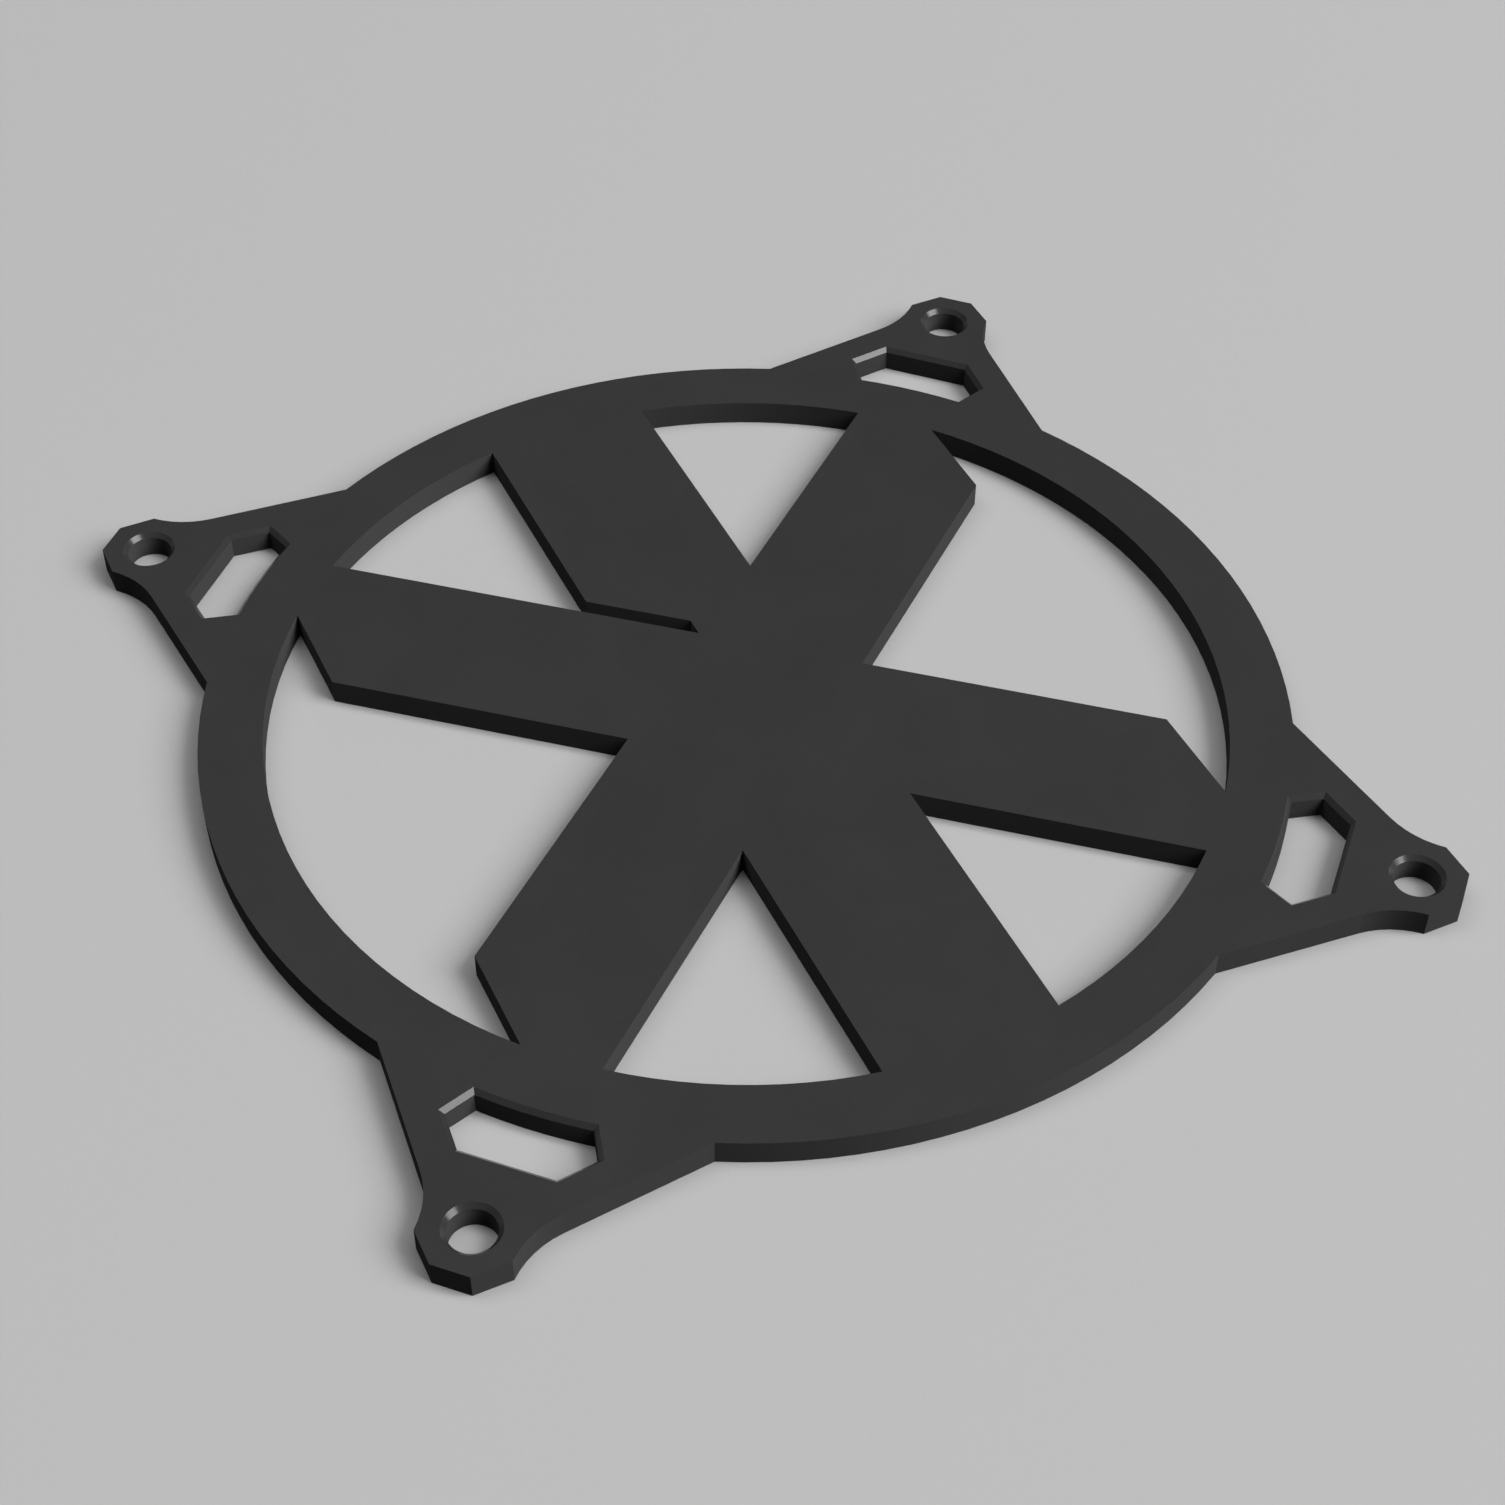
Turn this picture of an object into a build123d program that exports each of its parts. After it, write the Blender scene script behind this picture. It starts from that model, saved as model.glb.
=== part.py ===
from build123d import *
import math
import os

# Fan cover: one flat plate that screws over a 120 mm fan. Sizes in millimetres, +Z up.
# The origin is the middle of the ring, on the flat underside.

# Driving sizes of the fan that the plate covers

fan_size = 120.0            # side of the fan's square frame, and the ring's outer diameter
hole_inset = 7.5            # from the frame's side in to the middle of a screw hole

# Driving sizes of the plate and its ring

plate_t = 3.0               # thickness everywhere
ring_band = 7.0             # width of the ring

# Driving sizes of the four corner lugs

hole_d = 5.0
eye_flats = 10.0            # across the flats of the octagon around a screw hole
neck_r = 10.0               # hollow curve from the octagon to the lug's straight side
lug_side_deg = 5.5          # lean of a straight side from the nearest side of the fan's frame
slot_side_wall = 4.0        # material between a slot and the lug's straight side
slot_hole_gap = 8.0         # from the middle of the screw hole in to the slot's outer wall
slot_end_half = 6.45        # half the slot's width where its ends reach the ring's tangent line
slot_end_deg = 29.5         # splay of a slot end from the lug's diagonal
rim_chamfer = 0.5           # on the top rims of the screw holes and slots only

# Driving sizes of the bars

crossing_x = 0.2            # the bars cross a little off the ring's middle
crossing_y = 0.25
upright_w = 19.7
slanted_w = 18.3
slanted_deg = 39.85         # slope of the two slanted bars
bar_end_gap = 12.4          # from the cut-off end of the slanted bars to the ring, level with the crossing
slit_w = 1.75
slit_stop = 0.3             # the slit ends this far short of the upright bar's middle line

# Sizes that follow from them

ring_outer_r = fan_size / 2
ring_inner_r = ring_outer_r - ring_band
hole_out = (fan_size / 2 - hole_inset) * math.sqrt(2)       # from the ring's middle to a screw hole
eye_half_flat = eye_flats / 2 * math.tan(math.radians(22.5))
side_deg = 45.0 - lug_side_deg      # a lug side's angle to the lug's diagonal
anchor_r = (ring_outer_r + ring_inner_r) / 2                # the bars run this deep into the ring
slanted_reach = ring_inner_r - bar_end_gap


def along(deg):
    # unit direction at an angle from +X
    return Vector(math.cos(math.radians(deg)), math.sin(math.radians(deg)))


def meeting(start, start_deg, other, other_deg):
    # where a line through one point meets a line through another
    heading = along(start_deg)
    normal = along(other_deg + 90)
    distance = (Vector(other) - Vector(start)).dot(normal) / heading.dot(normal)
    return Vector(start) + heading * distance


def both_halves(half):
    return half + mirror(half, about=Plane.XZ)


# One lug with its diagonal on +X: half the octagon, the hollow neck, then the straight side to the ring

ring_edge = CenterArc((0, 0), ring_outer_r, 0, 90)
eye_edge = Polyline(
    (hole_out + eye_flats / 2, 0),
    (hole_out + eye_flats / 2, eye_half_flat),
    (hole_out + eye_half_flat, eye_flats / 2),
)
neck = JernArc(eye_edge @ 1, (-1, 0), neck_r, -side_deg)
side = IntersectingLine(neck @ 1, neck % 1, ring_edge)
foot = Polyline(side @ 1, ((side @ 1).X, 0), eye_edge @ 0)
lug = both_halves(make_face([eye_edge, neck, side, foot]))

# The slot of that lug: outer wall, side walls parallel to the lug's, splayed ends, inner wall on the ring's circle

side_wall_start = neck @ 1 - along(90 - side_deg) * slot_side_wall
slot_outer = meeting((hole_out - slot_hole_gap, 0), 90, side_wall_start, -side_deg)
slot_shoulder = meeting((ring_outer_r, slot_end_half), slot_end_deg, side_wall_start, -side_deg)
slot_walls = Polyline((slot_outer.X, 0), slot_outer, slot_shoulder)
slot_end = IntersectingLine(slot_shoulder, -along(slot_end_deg), ring_edge)
slot_end_bearing = math.degrees(math.atan2((slot_end @ 1).Y, (slot_end @ 1).X))
slot_inner = CenterArc((0, 0), ring_outer_r, 0, slot_end_bearing)
slot_middle = Line((ring_outer_r, 0), (slot_outer.X, 0))
slot = both_halves(make_face([slot_walls, slot_end, slot_inner, slot_middle]))

screw_hole = Pos(hole_out, 0) * Circle(hole_d / 2)
corner_turns = PolarLocations(0, 4, start_angle=45)

# Upright bar and the two slanted bars, trimmed to the ring

upright = Rectangle(upright_w, fan_size)
slanted = Rectangle(fan_size, slanted_w)
slanted_pair = Rot(0, 0, slanted_deg) * slanted + Rot(0, 0, -slanted_deg) * slanted
slanted_pair = slanted_pair & Rectangle(2 * slanted_reach, fan_size)
bars = Pos(crossing_x, crossing_y) * (upright + slanted_pair) & Circle(anchor_r)

# The slit cuts into the upright bar along the top edge of the bar that falls to the right

fall = math.tan(math.radians(slanted_deg))
slit_low = slanted_w / 2 / math.cos(math.radians(slanted_deg))
slit_high = slit_low + slit_w / math.cos(math.radians(slanted_deg))
slit_mouth = -upright_w / 2 - slit_w
slit = Pos(crossing_x, crossing_y) * make_face(
    Polyline(
        (slit_mouth, slit_low - slit_mouth * fall),
        (-slit_stop, slit_low + slit_stop * fall),
        (-slit_stop, slit_high + slit_stop * fall),
        (slit_mouth, slit_high - slit_mouth * fall),
        close=True,
    )
)

# The whole outline, raised to the plate's thickness

outline = Circle(ring_outer_r) + [turn * lug for turn in corner_turns]
outline -= Circle(ring_inner_r)
outline += bars
outline -= slit
outline -= [turn * (slot + screw_hole) for turn in corner_turns]
plate = extrude(outline, plate_t)

# The rims centred outside the ring belong to the screw holes and slots

top_face = plate.faces().sort_by(Axis.Z)[-1]
lug_rims = [rim for rim in top_face.inner_wires() if Vector(rim.center().X, rim.center().Y).length > ring_outer_r]
fan_cover = chamfer([edge for rim in lug_rims for edge in rim.edges()], rim_chamfer)
fan_cover.label = "fan_cover"

os.makedirs("parts", exist_ok=True)
export_step(fan_cover, "parts/fan_cover.step")
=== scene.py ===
import math

import bpy
import numpy as np
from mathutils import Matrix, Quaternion, Vector

mm = 0.001                    # the scene's unit is the metre

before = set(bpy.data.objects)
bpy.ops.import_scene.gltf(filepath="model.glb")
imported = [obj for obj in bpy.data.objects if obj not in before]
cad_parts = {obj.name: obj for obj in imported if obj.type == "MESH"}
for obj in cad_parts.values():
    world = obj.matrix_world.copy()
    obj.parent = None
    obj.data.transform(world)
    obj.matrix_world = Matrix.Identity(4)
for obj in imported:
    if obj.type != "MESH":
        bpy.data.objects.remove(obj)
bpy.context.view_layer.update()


# helpers for node trees, where a value is a number or a (node, output) pair

def newTree(material):
    material.use_nodes = True
    tree = material.node_tree
    tree.nodes.clear()
    return tree


def addNode(tree, kind, settings={}, values={}):
    # settings go on the node itself, values on its input sockets
    node = tree.nodes.new(kind)
    for name, value in settings.items():
        setattr(node, name, value)
    for name, value in values.items():
        node.inputs[name].default_value = value
    return node


def join(tree, *steps):
    # each step is (node, output, node, input)
    for source, output, target, socket in steps:
        tree.links.new(source.outputs[output], target.inputs[socket])


def maths(tree, operation, *values, clamp=False):
    node = addNode(tree, "ShaderNodeMath", {"operation": operation, "use_clamp": clamp})
    for place, value in enumerate(values):
        if isinstance(value, tuple):
            join(tree, (*value, node, place))
        else:
            node.inputs[place].default_value = value
    return node, 0


def spread(tree, value, lowHigh, toLowHigh, smooth=False):
    # carries a value from one range to another, held at both ends
    (low, high), (toLow, toHigh) = lowHigh, toLowHigh
    node = addNode(tree, "ShaderNodeMapRange", {"interpolation_type": "SMOOTHSTEP" if smooth else "LINEAR"},
                   {"From Min": low, "From Max": high, "To Min": toLow, "To Max": toHigh})
    join(tree, (*value, node, "Value"))
    return node, 0


def newGroup(name, inputs, outputs):
    # inputs and outputs are {socket name: socket kind, as in Float or Vector}
    tree = bpy.data.node_groups.new(name, "ShaderNodeTree")
    for way, sockets in (("INPUT", inputs), ("OUTPUT", outputs)):
        for socket, kind in sockets.items():
            tree.interface.new_socket(name=socket, in_out=way, socket_type="NodeSocket" + kind)
    return tree, addNode(tree, "NodeGroupInput"), addNode(tree, "NodeGroupOutput")


# the way out from the origin at an azimuth and elevation in degrees, where azimuth 0 is the -Y side
def wayOut(azimuth, elevation):
    a, e = math.radians(azimuth), math.radians(elevation)
    return Vector((math.sin(a) * math.cos(e), -math.cos(a) * math.cos(e), math.sin(e)))


def faceAgainst(thing, way, turn=0.0):
    # a camera or lamp looks back against way, turned about that line by degrees
    thing.rotation_mode = "QUATERNION"
    thing.rotation_quaternion = (-way).to_track_quat("-Z", "Y") @ Quaternion((0, 0, 1), math.radians(turn))


# camera, from the four screw holes and the ring's edges

camera = {
    "azimuth": -24.752,
    "elevation": 45.184,
    "distance": 306.217 * mm,
    "aim": (-3.020 * mm, -2.085 * mm, 0.0),
    "lens": 66.39,
    "sensor": 36.0,
    "shift": (0.01559, -0.00702),
    "clip": (0.01, 50.0),     # nearest and farthest metres seen
}


def placeCamera(s):
    way = wayOut(s["azimuth"], s["elevation"])
    data = bpy.data.cameras.new("viewpoint")
    data.lens = s["lens"]
    data.sensor_width = s["sensor"]
    data.shift_x, data.shift_y = s["shift"]
    data.clip_start, data.clip_end = s["clip"]
    eye = bpy.data.objects.new("viewpoint", data)
    eye.location = Vector(s["aim"]) + way * s["distance"]
    faceAgainst(eye, way)
    bpy.context.scene.collection.objects.link(eye)
    bpy.context.scene.camera = eye


placeCamera(camera)
print("camera placed")


# light: a soft box front right, a long one overhead, and a faint even sky

lights = {
    # place in degrees, turn about the box's own axis, sides in metres, and the radiance of its face
    "boxes": {
        "softBox": {"azimuth": 48.0, "elevation": 41.5, "turn": 0.0, "sides": (2.28, 2.80), "radiance": 7.1},
        "topBox": {"azimuth": 136.9, "elevation": 85.7, "turn": -85.9, "sides": (2.0, 8.6), "radiance": 2.08},
    },
    "distance": 4.0,
    "sky": 0.035,
}


def placeLights(s):
    for name, box in s["boxes"].items():
        way = wayOut(box["azimuth"], box["elevation"])
        data = bpy.data.lights.new(name, "AREA")
        data.shape = "RECTANGLE"
        data.size, data.size_y = box["sides"]
        data.energy = box["radiance"] * math.pi * data.size * data.size_y
        lamp = bpy.data.objects.new(name, data)
        lamp.location = way * s["distance"]
        faceAgainst(lamp, way, box["turn"])
        lamp.visible_camera = False
        bpy.context.scene.collection.objects.link(lamp)
    world = bpy.data.worlds.new("faintSky")
    bpy.context.scene.world = world
    world.use_nodes = True
    sky = world.node_tree.nodes["Background"]
    sky.inputs["Color"].default_value = (1.0, 1.0, 1.0, 1.0)
    sky.inputs["Strength"].default_value = s["sky"]


placeLights(lights)
bpy.context.scene.view_settings.view_transform = "Standard"
print("lights placed")


# floor: a wide pale disc whose rim curves up, so that low views see no edge

floor = {
    "flatRadius": 4.5,
    "rimRadius": 2.0,         # of the quarter circle at the rim
    "gap": 0.02 * mm,         # keeps the floor and the cover's flat face apart
    "hubRadius": 0.1 * mm,    # of the tiny hole at the middle
    "flatRings": 24,
    "rimRings": 16,
    "spokes": 96,
    "colour": 0.52,           # what the camera and gloss see
    "bounce": 0.02,           # what it sends back up
    "fade": (0.15, 0.75),     # metres from the middle over which the lit floor gives way to an even glow
    "backdrop": 0.53,         # the glow near the floor, as bright as the near part is lit
    "rimGlow": 0.13,          # and from paleHeight up
    "paleHeight": 0.9,
}


def makeFloorPaper(s):
    material = bpy.data.materials.new("palePaper")
    tree = newTree(material)
    out = addNode(tree, "ShaderNodeOutputMaterial")
    place = addNode(tree, "ShaderNodeTexCoord")
    ray = addNode(tree, "ShaderNodeLightPath")
    skin = addNode(tree, "ShaderNodeBsdfDiffuse")
    glow = addNode(tree, "ShaderNodeEmission")
    blend = addNode(tree, "ShaderNodeMixShader")
    far = addNode(tree, "ShaderNodeVectorMath", {"operation": "LENGTH"})
    split = addNode(tree, "ShaderNodeSeparateXYZ")
    join(tree, (place, "Object", far, 0), (place, "Object", split, 0))

    # pale for the camera, gloss and glass, and dark for the light that bounces back up
    clear = maths(tree, "MAXIMUM", (ray, "Is Glossy Ray"), (ray, "Is Transmission Ray"))
    seen = maths(tree, "MAXIMUM", (ray, "Is Camera Ray"), clear)
    shade = spread(tree, seen, (0.0, 1.0), (s["bounce"], s["colour"]))

    # the glow is seen only by those rays, and other rays get the sky's own level
    seenGlow = spread(tree, (split, "Z"), (0.0, s["paleHeight"]), (s["backdrop"], s["rimGlow"]), smooth=True)
    glowLevel = maths(tree, "MAXIMUM", maths(tree, "MULTIPLY", seen, seenGlow), lights["sky"])
    fade = spread(tree, (far, "Value"), s["fade"], (0.0, 1.0), smooth=True)
    join(tree,
         (*shade, skin, "Color"), (*glowLevel, glow, "Strength"),
         (*fade, blend, 0), (skin, "BSDF", blend, 1), (glow, "Emission", blend, 2),
         (blend, "Shader", out, "Surface"))
    return material


def makeFloor(s):
    # a profile turned about Z: flat out to flatRadius, with rings closer together near the middle,
    # then a quarter circle that rises by rimRadius
    flat = np.maximum(np.linspace(0.0, 1.0, s["flatRings"]) ** 2 * s["flatRadius"], s["hubRadius"])
    climb = np.linspace(0.0, math.pi / 2, s["rimRings"] + 1)[1:]
    radius = np.concatenate([flat, s["flatRadius"] + s["rimRadius"] * np.sin(climb)])
    height = np.concatenate([0.0 * flat, s["rimRadius"] * (1.0 - np.cos(climb))]) - s["gap"]
    angle = np.linspace(0.0, 2 * math.pi, s["spokes"], endpoint=False)[:, None]
    x, y, z = np.broadcast_arrays(radius * np.cos(angle), radius * np.sin(angle), height)

    # each cell between two spokes and two rings becomes a quad, and the last spoke joins the first
    index = np.arange(x.size).reshape(x.shape)
    following = np.roll(index, -1, axis=0)
    quads = np.stack([index[:, :-1], following[:, :-1], following[:, 1:], index[:, 1:]], axis=-1).reshape(-1, 4)
    mesh = bpy.data.meshes.new("studioFloor")
    mesh.from_pydata(np.stack([x, y, z], axis=-1).reshape(-1, 3).tolist(), [], quads.tolist())
    mesh.polygons.foreach_set("use_smooth", np.ones(len(quads), dtype=bool))
    mesh.update()
    mesh.materials.append(makeFloorPaper(s))
    piece = bpy.data.objects.new("studioFloor", mesh)
    bpy.context.scene.collection.objects.link(piece)


makeFloor(floor)
print("floor made")


# the cover: charcoal plastic, satin on its flat faces and chamfers and matte on its upright sides, whose colour is
# made lighter by painted bounce light

plastic = {
    "darkTint": (0.0385, 0.0385, 0.0390, 1.0),
    "lightTint": (0.0420, 0.0418, 0.0414, 1.0),
    "edgeTint": (0.0450, 0.0448, 0.0444, 1.0),
    "ior": 1.5,
    "satin": (0.22, 0.5),     # roughness and specular level of the flat faces and chamfers
    "matte": (0.60, 0.00),    # and of the upright sides
    "sidePaintedLight": 2.15,         # painted bounce light: the upright sides are this many times lighter
    "faceLean": (0.2, 0.5),   # how far the normal leans to Z, from a side to a chamfer or flat face
    "speckShare": 0.5,        # how much of the grain shows in the tint beside the patches
    "tintRange": (0.2, 1.3),
    "rubRange": (0.15, 0.6),  # how much of the edge tint shows, from patch to patch
    "patchRoughness": 0.025,
    "grainRoughness": 0.02,
    "hairRoughness": 0.015,
    "grain": 0.32 * mm,
    "grainRange": (0.3, 0.7),
    "grainDepth": 0.0005 * mm,
    "patch": 14.0 * mm,
    "edgeWidth": 0.10 * mm,
    "hairLength": 22.0 * mm,
    "hairWidth": 0.25 * mm,
    "hairTurns": (24.0, -58.0),         # degrees, the ways that the faint wiping marks run
}

grainNoise = {
    "coarse": {"Detail": 2.0, "Roughness": 0.55},
    "fine": {"Detail": 1.0, "Roughness": 0.5},
    "cloud": {"Detail": 3.0, "Roughness": 0.6, "Distortion": 0.4},
    "fineness": 3.1,          # the fine noise is this many times smaller
    "shares": (0.7, 0.3),     # of the coarse and the fine noise
    "cloudRange": (0.35, 0.65),
}

hairNoise = {
    "streaks": {"Scale": 1.0, "Detail": 2.0, "Roughness": 0.6},
    "cloud": {"Scale": 70.0, "Detail": 2.0},
    "thinRange": (0.62, 0.74),
    "shownRange": (0.48, 0.66),
}

edgeRounding = {"samples": 4, "leanRange": (0.995, 0.80)}


def makeGrainGroup(s):
    # Height is a noise of the grain's own size plus a finer one, Cloud a far larger noise of the patch's size
    tree, given, made = newGroup("fineGrain", {"Vector": "Vector", "Grain": "Float", "Patch": "Float"},
                                 {"Height": "Float", "Cloud": "Float"})
    coarse, fine, cloud = (addNode(tree, "ShaderNodeTexNoise", values=s[name]) for name in ("coarse", "fine", "cloud"))
    coarseScale = maths(tree, "DIVIDE", 1.0, (given, "Grain"))
    fineScale = maths(tree, "MULTIPLY", coarseScale, s["fineness"])
    cloudScale = maths(tree, "DIVIDE", 1.0, (given, "Patch"))
    for noise, scale in ((coarse, coarseScale), (fine, fineScale), (cloud, cloudScale)):
        join(tree, (given, "Vector", noise, "Vector"), (*scale, noise, "Scale"))
    body = maths(tree, "MULTIPLY", (coarse, 0), s["shares"][0])
    both = maths(tree, "MULTIPLY_ADD", (fine, 0), s["shares"][1], body)
    level = spread(tree, (cloud, 0), s["cloudRange"], (0.0, 1.0))
    join(tree, (*both, made, "Height"), (*level, made, "Cloud"))
    return tree


def makeHairGroup(s):
    # noise stretched along one way, cut to thin streaks and kept only where a large cloud lets them show
    tree, given, made = newGroup(
        "wipingMarks", {"Vector": "Vector", "Turn": "Float", "Length": "Float", "Width": "Float"}, {"Marks": "Float"})
    turned = addNode(tree, "ShaderNodeVectorRotate", {"rotation_type": "Z_AXIS"})
    lengthScale = maths(tree, "DIVIDE", 1.0, (given, "Length"))
    widthScale = maths(tree, "DIVIDE", 1.0, (given, "Width"))
    scales = addNode(tree, "ShaderNodeCombineXYZ")
    stretched = addNode(tree, "ShaderNodeVectorMath", {"operation": "MULTIPLY"})
    streaks = addNode(tree, "ShaderNodeTexNoise", values=s["streaks"])
    cloud = addNode(tree, "ShaderNodeTexNoise", values=s["cloud"])
    join(tree,
         (given, "Vector", turned, "Vector"), (given, "Turn", turned, "Angle"),
         (*lengthScale, scales, "X"), (*widthScale, scales, "Y"), (*widthScale, scales, "Z"),
         (turned, "Vector", stretched, 0), (scales, "Vector", stretched, 1),
         (stretched, "Vector", streaks, "Vector"), (given, "Vector", cloud, "Vector"))
    thin = spread(tree, (streaks, 0), s["thinRange"], (0.0, 1.0))
    shown = spread(tree, (cloud, 0), s["shownRange"], (0.0, 1.0))
    join(tree, (*maths(tree, "MULTIPLY", thin, shown), made, "Marks"))
    return tree


def makeEdgeGroup(s):
    # the normal rounded over Width differs from the flat one only near an edge, and Edge is how far the two lean apart
    tree, given, made = newGroup("edgeRub", {"Width": "Float"}, {"Edge": "Float"})
    rounded = addNode(tree, "ShaderNodeBevel", {"samples": s["samples"]})
    flat = addNode(tree, "ShaderNodeNewGeometry")
    lean = addNode(tree, "ShaderNodeVectorMath", {"operation": "DOT_PRODUCT"})
    join(tree, (given, "Width", rounded, "Radius"), (rounded, "Normal", lean, 0), (flat, "Normal", lean, 1))
    edge = spread(tree, (lean, "Value"), s["leanRange"], (0.0, 1.0))
    join(tree, (*edge, made, "Edge"))
    return tree


def makePlastic(s):
    material = bpy.data.materials.new("charcoalPlastic")
    tree = newTree(material)
    out = addNode(tree, "ShaderNodeOutputMaterial")
    skin = addNode(tree, "ShaderNodeBsdfPrincipled", values={"IOR": s["ior"]})
    place = addNode(tree, "ShaderNodeTexCoord")
    grain = addNode(tree, "ShaderNodeGroup", {"node_tree": makeGrainGroup(grainNoise)},
                    {"Grain": s["grain"], "Patch": s["patch"]})
    rub = addNode(tree, "ShaderNodeGroup", {"node_tree": makeEdgeGroup(edgeRounding)}, {"Width": s["edgeWidth"]})
    hairGroup = makeHairGroup(hairNoise)
    hairs = [addNode(tree, "ShaderNodeGroup", {"node_tree": hairGroup},
                     {"Turn": math.radians(turn), "Length": s["hairLength"], "Width": s["hairWidth"]})
             for turn in s["hairTurns"]]
    for node in (grain, *hairs):
        join(tree, (place, "Object", node, "Vector"))

    # 1 on the flat faces and chamfers, 0 on the upright sides
    split = addNode(tree, "ShaderNodeSeparateXYZ")
    join(tree, (place, "Normal", split, "Vector"))
    level = spread(tree, maths(tree, "ABSOLUTE", (split, "Z")), s["faceLean"], (0.0, 1.0))

    # colour: two close charcoals in soft patches, a little lighter on rubbed edges, and lighter on the sides by
    # painted bounce light
    speck = maths(tree, "MULTIPLY_ADD", (grain, "Height"), s["speckShare"], (grain, "Cloud"))
    mottle = spread(tree, speck, s["tintRange"], (0.0, 1.0))
    tint = addNode(tree, "ShaderNodeMix", {"data_type": "RGBA"})
    worn = addNode(tree, "ShaderNodeMix", {"data_type": "RGBA"})
    tint.inputs[6].default_value, tint.inputs[7].default_value = s["darkTint"], s["lightTint"]
    worn.inputs[7].default_value = s["edgeTint"]
    rubbed = maths(tree, "MULTIPLY", (rub, "Edge"), spread(tree, (grain, "Cloud"), (0.0, 1.0), s["rubRange"]))
    # painted bounce light: the upright sides' colour is scaled up, standing in for light from the floor
    paintedSideScale = addNode(tree, "ShaderNodeVectorMath", {"operation": "SCALE"})
    paintedSideFactor = spread(tree, level, (0.0, 1.0), (s["sidePaintedLight"], 1.0))
    join(tree,
         (*mottle, tint, 0), (tint, 2, worn, 6), (*rubbed, worn, 0),
         (worn, 2, paintedSideScale, 0), (*paintedSideFactor, paintedSideScale, "Scale"), (paintedSideScale, "Vector", skin, "Base Color"))

    # roughness and shine: satin or matte, with roughness varied by the patches, the grain and the wiping marks
    base, shine = (spread(tree, level, (0.0, 1.0), pair) for pair in zip(s["matte"], s["satin"]))
    patchy = spread(tree, (grain, "Cloud"), (0.0, 1.0), (-0.5 * s["patchRoughness"], 0.5 * s["patchRoughness"]))
    grainy = spread(tree, (grain, "Height"), s["grainRange"], (-0.5 * s["grainRoughness"], 0.5 * s["grainRoughness"]))
    marks = maths(tree, "MAXIMUM", (hairs[0], "Marks"), (hairs[1], "Marks"))
    wiped = maths(tree, "MULTIPLY", marks, s["hairRoughness"])
    total = maths(tree, "ADD", maths(tree, "ADD", base, patchy), maths(tree, "ADD", grainy, wiped), clamp=True)
    join(tree, (*total, skin, "Roughness"), (*shine, skin, "Specular IOR Level"))

    # bump: the grain alone
    dent = addNode(tree, "ShaderNodeBump", values={"Strength": 1.0, "Distance": s["grainDepth"]})
    join(tree, (grain, "Height", dent, "Height"), (dent, "Normal", skin, "Normal"), (skin, "BSDF", out, "Surface"))
    return material


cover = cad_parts["fan_cover"]
cover.material_slots[0].material = makePlastic(plastic)
print("cover dressed")
